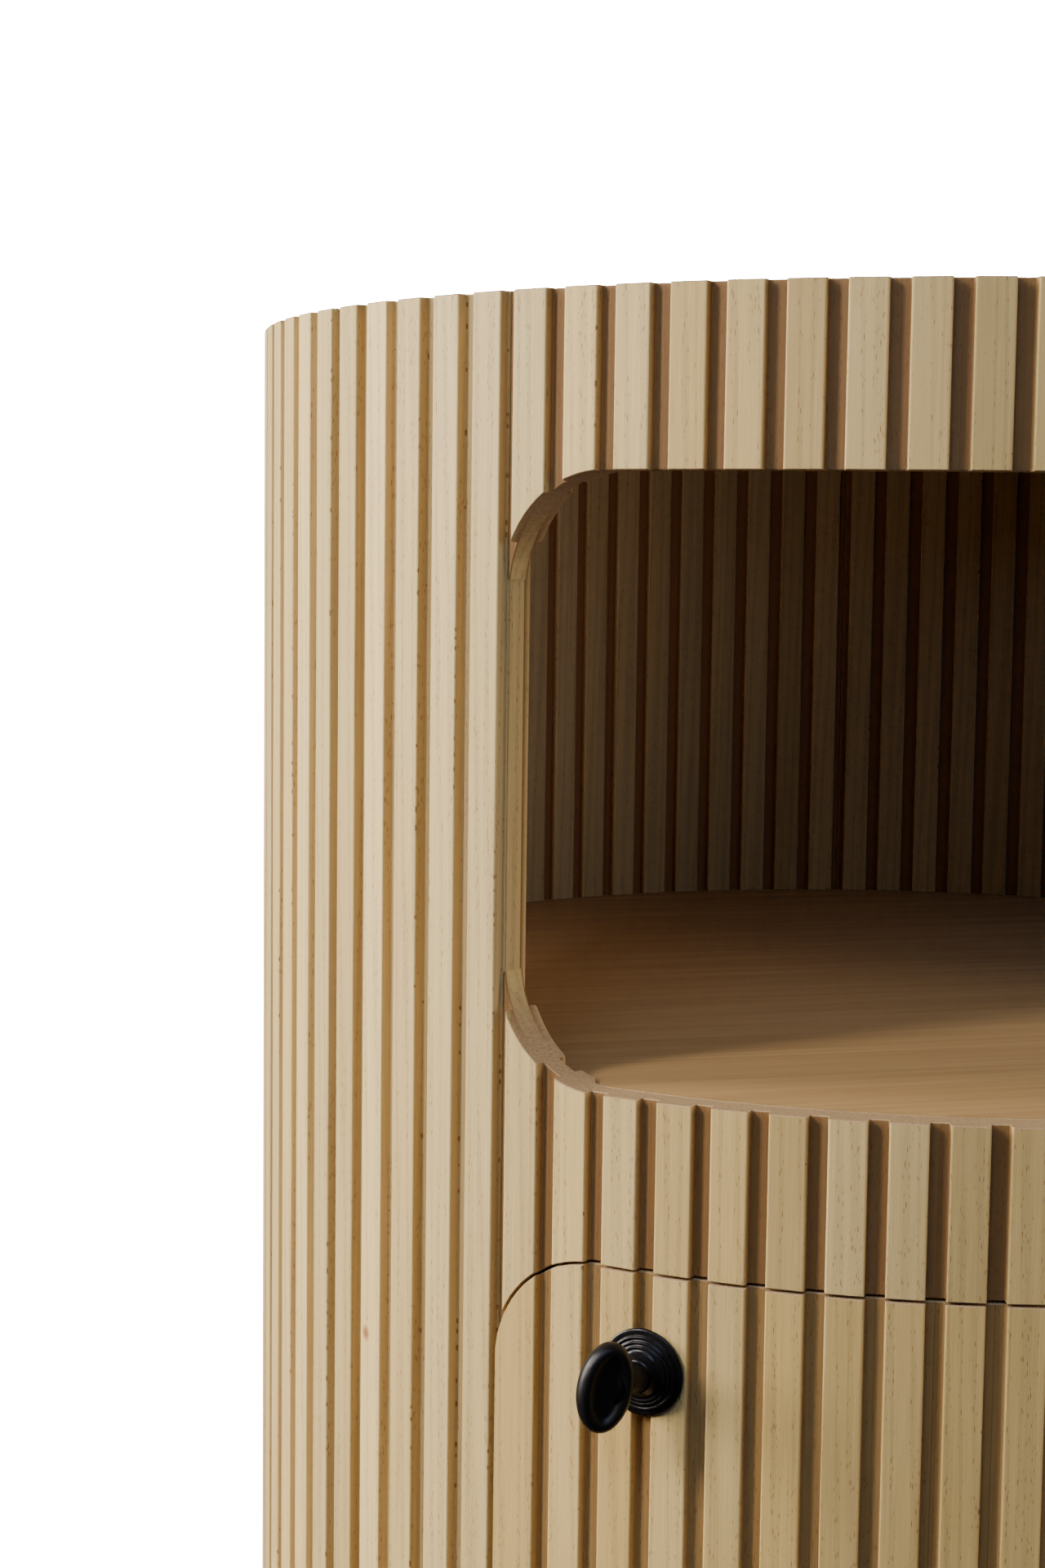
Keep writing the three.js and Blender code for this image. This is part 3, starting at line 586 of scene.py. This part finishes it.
class CABINET_OT_rails(bpy.types.Operator):
    """Build the three front rails, with the rounded corners of the openings"""

    bl_idname = "cabinet.rails"
    bl_label = "Front rails"

    def execute(self, context):
        staves, heights = context.scene.stave_sizes, context.scene.opening_sizes
        oak = oak_material("oak_rails_oiled_painted_shade", staves, context.scene.finish_colours, lot=200.0, yellow=0.3, groove_shade_amount=0.84)
        half = opening_half(staves)
        radius, inner = staves.radius, staves.radius - staves.thickness
        ease, seam, housing = staves.ease, staves.seam, heights.housing
        reach = (staves.opening_staves - 1) // 2
        base, top = heights.base, heights.top

        def stations(*radii):
            """The rails' stations, with the outermost ribs moved outwards and steps for corners of these radii"""
            line = stations_between(staves, -reach, reach, salt=1)
            out = staves.end_rib / radius
            line = [*((angle - out, back) for angle, back in line[:SIDE_STATIONS]),
                    *line[SIDE_STATIONS:-SIDE_STATIONS],
                    *((angle + out, back) for angle, back in line[-SIDE_STATIONS:])]
            end = half - seam / radius
            line = [(-end, staves.depth), *line, (end, staves.depth)]
            return with_corners(line, half, radii, radius)

        def niche(angle):
            """How far the niche's corner comes into the opening"""
            return corner_reach(angle, half, heights.niche_corner, radius)

        def drawer(angle):
            """How far the drawer opening's corner comes into it"""
            return corner_reach(angle, half, heights.drawer_corner, radius)

        def top_section(angle, back):
            """Round the top rail, with the rebate for the top board"""
            out, rib, low = radius - back, inner + back, heights.niche_high - niche(angle)
            board = top - heights.board - seam
            return [(out, low + ease), (out, top - ease), (out - ease, top), (housing, top), (housing, board),
                    (rib, board), (rib, low + ease), (rib + ease, low), (out - ease, low)]

        def middle_section(angle, back):
            """Round the middle rail, with the housing for the shelf"""
            out, rib = radius - back, inner + back
            low, high = heights.drawer_high - drawer(angle), heights.niche_low + niche(angle)
            shelf_low, shelf_high = heights.niche_low - heights.board - seam, heights.niche_low + seam
            if high > shelf_high + 2 * ease:
                edge = [(rib + ease, high), (rib, high - ease), (rib, shelf_high), (housing, shelf_high)]
            else:
                # Where the rail ends at the shelf, its inner edge only has its sharpness taken off
                edge = [(housing + step * ease / 9, high - step * ease / 9) for step in (3, 2, 1, 0)]
            return [(out, low + ease), (out, high - ease), (out - ease, high), *edge, (housing, shelf_low),
                    (rib, shelf_low), (rib, low + ease), (rib + ease, low), (out - ease, low)]

        def bottom_section(angle, back):
            """Round the bottom rail, with the rebate for the bottom board"""
            out, rib, high = radius - back, inner + back, heights.drawer_low + drawer(angle)
            board = base + heights.board + seam
            return [(out, base + ease), (out, high - ease), (out - ease, high), (rib + ease, high), (rib, high - ease),
                    (rib, board), (housing, board), (housing, base), (out - ease, base)]

        niche_corner, drawer_corner = heights.niche_corner, heights.drawer_corner
        rails = [
            ("staves_top_rail", "top_rail", stations(niche_corner), top_section),
            ("staves_middle_rail", "middle_rail", stations(niche_corner, drawer_corner), middle_section),
            ("staves_bottom_rail", "bottom_rail", stations(drawer_corner), bottom_section),
        ]
        for name, node, line, section in rails:
            finish_piece(fluted_piece(name, line, section, oak), "cabinet", "oak_staves", node)
        return {"FINISHED"}


class CABINET_OT_front(bpy.types.Operator):
    """Build the drawer's curved fluted front"""

    bl_idname = "cabinet.front"
    bl_label = "Drawer front"

    def execute(self, context):
        staves, heights = context.scene.stave_sizes, context.scene.opening_sizes
        oak = oak_material("oak_front_oiled_painted_shade", staves, context.scene.finish_colours, lot=400.0, yellow=0.5, groove_shade_amount=0.6)
        radius, inner, ease = staves.radius, staves.radius - staves.thickness, staves.ease
        half = opening_half(staves) - heights.gap / radius
        corner = heights.drawer_corner - heights.gap
        reach = (staves.opening_staves - 1) // 2
        line = stations_between(staves, -reach, reach, salt=2)[SIDE_STATIONS:-SIDE_STATIONS]
        rim = [(half - ease / radius, 0), (half, ease)]
        line = [(-angle, back) for angle, back in reversed(rim)] + line + rim

        def section(angle, back):
            """Round the drawer's front, with its four eased edges"""
            out, rib, turn = radius - back, inner + back, corner_reach(angle, half, corner, radius)
            low, high = heights.drawer_low + heights.gap + turn, heights.drawer_high - heights.gap - turn
            return [(out, low + ease), (out, high - ease), (out - ease, high), (rib + ease, high), (rib, high - ease),
                    (rib, low + ease), (rib + ease, low), (out - ease, low)]

        piece = fluted_piece("staves_drawer_front", with_corners(line, half, [corner], radius), section, oak)
        finish_piece(piece, "drawer", "oak_staves", "drawer_front")
        return {"FINISHED"}


class CABINET_OT_boards(bpy.types.Operator):
    """Finish the round oak boards"""

    bl_idname = "cabinet.boards"
    bl_label = "Round boards"

    def execute(self, context):
        colours = context.scene.finish_colours
        board = board_material("oak_board_oiled", colours.board_pale, colours.board_dark, "X", roughness=0.55)
        for node in ("top_board", "shelf", "bottom_board"):
            wear(node, board)
        return {"FINISHED"}


class CABINET_OT_box(bpy.types.Operator):
    """Finish the drawer box and the runner boards"""

    bl_idname = "cabinet.box"
    bl_label = "Drawer box"

    def execute(self, context):
        birch = context.scene.finish_colours.birch
        darker = tuple(channel * 0.86 for channel in birch)
        along_y = board_material("birch_ply_sanded_depth", birch, darker, "Y", roughness=0.6, streak_mm=12.0)
        along_x = board_material("birch_ply_sanded_width", birch, darker, "X", roughness=0.6, streak_mm=12.0)
        for node in ("drawer_side_left", "drawer_side_right", "runner_board_left", "runner_board_right",
                     "drawer_bottom"):
            wear(node, along_y)
        wear("drawer_back", along_x)
        return {"FINISHED"}


class CABINET_OT_hardware(bpy.types.Operator):
    """Finish the slides, the knob screws and the glides"""

    bl_idname = "cabinet.hardware"
    bl_label = "Slides, screws and glides"

    def execute(self, context):
        colours = context.scene.finish_colours
        zinc = zinc_material("steel_zinc_plated", colours)
        plastic = plastic_material("polypropylene_moulded", colours)
        for node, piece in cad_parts.items():
            if node.startswith(("slide_", "knob_screw_")):
                wear(node, zinc)
                rounding = piece.modifiers.new("rounded edges", "BEVEL")
                rounding.width, rounding.segments, rounding.limit_method = 0.2 * MM, 2, "ANGLE"
            if node.startswith("glide_"):
                wear(node, plastic)
        return {"FINISHED"}


# Points in a ring of a knob
KNOB_SIDES = 64
# The rosette from its back round its rim and up its three steps: shares of its radius and of its height
ROSETTE_SHARES = [
    (0.15, 0.0), (0.985, 0.0), (1.0, 0.02), (1.0, 0.1), (0.99, 0.16), (0.965, 0.19), (0.93, 0.2), (0.86, 0.205),
    (0.848, 0.21), (0.838, 0.3), (0.825, 0.335), (0.805, 0.335), (0.79, 0.3), (0.74, 0.3), (0.728, 0.39),
    (0.715, 0.42), (0.695, 0.42), (0.68, 0.39), (0.64, 0.39), (0.63, 0.47), (0.617, 0.5), (0.6, 0.5), (0.585, 0.47),
    (0.55, 0.48), (0.52, 0.53), (0.48, 0.64), (0.43, 0.79), (0.39, 0.9), (0.37, 1.0), (0.15, 1.0),
]
# The neck from the rosette up to the head: shares of its radius and of its length
NECK_SHARES = [
    (0.9, -0.1), (1.04, 0.0), (0.95, 0.16), (0.9, 0.35), (0.9, 0.55), (0.95, 0.72), (1.06, 0.87), (1.25, 0.96),
]
# The head's rim: how far in from the outline, as a share of its width, and how far up, as a share of its thickness
HEAD_SHARES = [
    (1.1, 0.0), (0.8, 0.02), (0.5, 0.09), (0.25, 0.2), (0.08, 0.36), (0.0, 0.55), (0.03, 0.7), (0.12, 0.84),
    (0.27, 0.94), (0.45, 1.0), (0.63, 0.99), (0.79, 0.95), (0.91, 0.89), (1.0, 0.84), (1.1, 0.815), (1.3, 0.81),
]


class CABINET_OT_knobs(bpy.types.Operator):
    """Build the two knobs: stepped rosette, neck and dished oval head"""

    bl_idname = "cabinet.knobs"
    bl_label = "Knobs"

    def execute(self, context):
        staves, heights, knob = context.scene.stave_sizes, context.scene.opening_sizes, context.scene.knob_sizes
        smooth_iron = iron_material("cast_iron_satin_black", context.scene.finish_colours, 0.42, pebbling=0.06)
        rough_iron = iron_material("cast_iron_pebbled_black", context.scene.finish_colours, 0.27, pebbling=0.07)
        turns = [2 * math.pi * i / KNOB_SIDES for i in range(KNOB_SIDES)]

        def ring(wide, high, along):
            """An oval of points at a place along the knob's axis"""
            return [Vector((wide * math.cos(t), high * math.sin(t), along)) for t in turns]

        for word, side in (("left", -1), ("right", 1)):
            from_middle = staves.opening_staves / 2 - knob.staves_in
            angle = side * (from_middle * pitch(staves) - knob.shift / staves.radius)
            place = Matrix.Translation(polar(staves.radius, angle, heights.drawer_high - knob.drop))
            place = place @ Matrix.Rotation(angle, 4, "Z") @ Matrix.Rotation(math.pi / 2, 4, "X")
            crown = knob.rosette_height - staves.seam
            rosette = [ring(out * knob.rosette, out * knob.rosette, staves.seam + up * crown)
                       for out, up in ROSETTE_SHARES]
            lean = Euler((-knob.lift, side * knob.splay, side * knob.turn), "ZYX").to_matrix().to_4x4()
            pivot = Vector((0, 0, knob.rosette_height))
            tilt = place @ Matrix.Translation(pivot) @ lean @ Matrix.Translation(-pivot)
            base, middle = knob.rosette_height + 2 * staves.seam, knob.reach - knob.thickness / 2
            neck = [ring(out * knob.neck, out * knob.neck, base + up * (middle - base)) for out, up in NECK_SHARES]
            faced = tilt @ Matrix.Translation((0, 0, middle)) @ Matrix.Rotation(-side * knob.facing, 4, "Y")
            head = [ring(knob.half_width - inset * knob.rim, knob.half_height - inset * knob.rim,
                         (up - 0.5) * knob.thickness)
                    for inset, up in HEAD_SHARES]
            for name, node, rings, move, iron in (("rosette_cast", "rosette", rosette, place, rough_iron),
                                                  ("neck_cast", "knob", neck, tilt, smooth_iron),
                                                  ("head_cast", "knob", head, faced, smooth_iron)):
                loops = [[tuple(move @ point) for point in loop] for loop in rings]
                piece = loft(f"{name}_{word}", loops, iron, smooth=True)
                finish_piece(piece, "drawer", "black_iron", f"{node}_{word}")
        return {"FINISHED"}


# The camera at the photograph's view: its place in metres, its angles in degrees, and its lens for a 36 mm high frame
CAMERA_PLACE = (-0.4495, -1.0235, 0.5268)
CAMERA_TURN, CAMERA_DIP, CAMERA_ROLL = -14.59, -5.601, -0.694
CAMERA_LENS = 57.68
# Bearing of the camera from the cabinet's front, in degrees
CAMERA_BEARING = -23.71
# Glow of the floor and the world that comes out pure white; neither lights the cabinet
WHITE_GLOW = 60.0
# Half the floor's width in metres
FLOOR_SPAN = 12.0


class CABINET_OT_stage(bpy.types.Operator):
    """Set the floor, the studio light and the camera at the photograph's view"""

    bl_idname = "cabinet.stage"
    bl_label = "Stage"

    def execute(self, context):
        scene = context.scene

        floor_material, tree = empty_material("studio_floor_white")
        matt = add(tree, "ShaderNodeBsdfPrincipled", {"Base Color": linear("#F4F4F2"), "Roughness": 0.9,
                                                      "Emission Color": (1, 1, 1, 1),
                                                      "Emission Strength": WHITE_GLOW})
        add(tree, "ShaderNodeOutputMaterial", {"Surface": matt})
        corners = [(x * FLOOR_SPAN, y * FLOOR_SPAN, 0) for x, y in ((-1, -1), (1, -1), (1, 1), (-1, 1))]
        floor = mesh_object("studio_floor", corners, [(0, 1, 2, 3)], floor_material)
        floor.visible_diffuse = False
        floor.visible_glossy = False

        world = bpy.data.worlds.new("studio_white")
        world.use_nodes = True
        world.node_tree.nodes.clear()
        sky = add(world.node_tree, "ShaderNodeBackground", {"Color": (1, 1, 1, 1), "Strength": WHITE_GLOW})
        add(world.node_tree, "ShaderNodeOutputWorld", {"Surface": sky})
        world.cycles_visibility.diffuse = False
        world.cycles_visibility.glossy = False
        scene.world = world

        def lamp(name, azimuth, elevation, distance, width, height, power, tint, aim=(0, 0, 0.4), glossy=False):
            """An area lamp, placed by its degrees round from the camera and up; only a glossy one is mirrored."""
            data = bpy.data.lights.new(name, "AREA")
            data.shape, data.size, data.size_y, data.energy = "ELLIPSE", width, height, power
            data.color = linear(tint)[:3]
            bearing, rise = math.radians(azimuth + CAMERA_BEARING), math.radians(elevation)
            spot = Vector(polar(distance * math.cos(rise), bearing, distance * math.sin(rise))) + Vector(aim)
            holder = bpy.data.objects.new(name, data)
            holder.location = spot
            holder.rotation_euler = (Vector(aim) - spot).to_track_quat("-Z", "Y").to_euler()
            holder.visible_glossy = glossy
            holder.visible_camera = False
            scene.collection.objects.link(holder)

        # Degrees round and up, metres away, the lamp's width and height, its watts and its tint
        lamp("key", -49, 31, 3.0, 0.45, 0.9, 65, "#FFF6F4", aim=(0, 0, 0.15), glossy=True)
        lamp("window", -80, 18, 2.6, 0.9, 1.6, 118, "#FFF7EC", aim=(0, 0, 0.18), glossy=True)
        lamp("left_fill", -100, 4, 2.5, 1.5, 1.5, 7, "#A0B8FF")
        lamp("right_fill", 46, 12, 2.4, 1.4, 1.2, 9, "#C8D4FF")
        lamp("right_reflector", 76, 8, 2.4, 1.0, 1.0, 27, "#FFEAD4")
        lamp("high_fill", -2, 38, 2.6, 1.4, 1.0, 15, "#B8D4FF", glossy=True)
        lamp("front_fill", -22, 34, 2.6, 1.6, 1.0, 17, "#D0DEFF")
        lamp("back_fill", 165, 24, 2.6, 1.6, 1.6, 40, "#FFFFFF")
        lamp("niche_fill", 78, -34, 0.18, 0.1, 0.1, 0.34, "#E4DEFF", aim=(-0.25, 0.05, 0.55))
        lamp("shelf_fill", 0, 89, 0.19, 0.3, 0.3, 0.055, "#98BCFF", aim=(0.12, 0.02, 0.34))

        camera = bpy.data.cameras.new("photo_view")
        camera.sensor_fit, camera.sensor_width, camera.sensor_height = "VERTICAL", 24, 36
        camera.lens = CAMERA_LENS
        camera.clip_start = 0.01
        holder = bpy.data.objects.new("photo_view", camera)
        turn = Matrix.Rotation(math.radians(CAMERA_TURN), 3, "Z") @ Matrix.Rotation(math.radians(CAMERA_DIP), 3, "X")
        turn = turn @ Matrix.Rotation(math.radians(CAMERA_ROLL), 3, "Y")
        # The turn is that of a camera that looks along Y with Z up, and Blender's looks along -Z with Y up
        view = Matrix((turn.col[0], turn.col[2], -turn.col[1])).transposed()
        holder.matrix_world = Matrix.Translation(CAMERA_PLACE) @ view.to_4x4()
        scene.collection.objects.link(holder)
        scene.camera = holder
        return {"FINISHED"}


class CABINET_PT_panel(bpy.types.Panel):
    """Lists the pieces of the cabinet"""

    bl_idname = "CABINET_PT_panel"
    bl_label = "Round fluted cabinet"
    bl_space_type = "VIEW_3D"
    bl_region_type = "UI"
    bl_category = "Cabinet"

    def draw(self, context):
        for operator in OPERATORS:
            self.layout.operator(operator.bl_idname)
        for group in GROUPS:
            settings = getattr(context.scene, group)
            box = self.layout.box()
            for name in settings.__annotations__:
                box.prop(settings, name)


GROUPS = {"stave_sizes": StaveSizes, "opening_sizes": OpeningSizes, "knob_sizes": KnobSizes,
          "finish_colours": FinishColours}
OPERATORS = [CABINET_OT_wall, CABINET_OT_rails, CABINET_OT_front, CABINET_OT_boards, CABINET_OT_box,
             CABINET_OT_hardware, CABINET_OT_knobs, CABINET_OT_stage]


def register():
    for cls in (*GROUPS.values(), *OPERATORS, CABINET_PT_panel):
        bpy.utils.register_class(cls)
    for name, group in GROUPS.items():
        setattr(bpy.types.Scene, name, PointerProperty(type=group))


def unregister():
    for name in GROUPS:
        delattr(bpy.types.Scene, name)
    for cls in reversed((*GROUPS.values(), *OPERATORS, CABINET_PT_panel)):
        bpy.utils.unregister_class(cls)


def main():
    """Builds and dresses everything in order."""
    register()
    for operator in OPERATORS:
        group, name = operator.bl_idname.split(".")
        getattr(getattr(bpy.ops, group), name)()


if __name__ == "__main__":
    main()
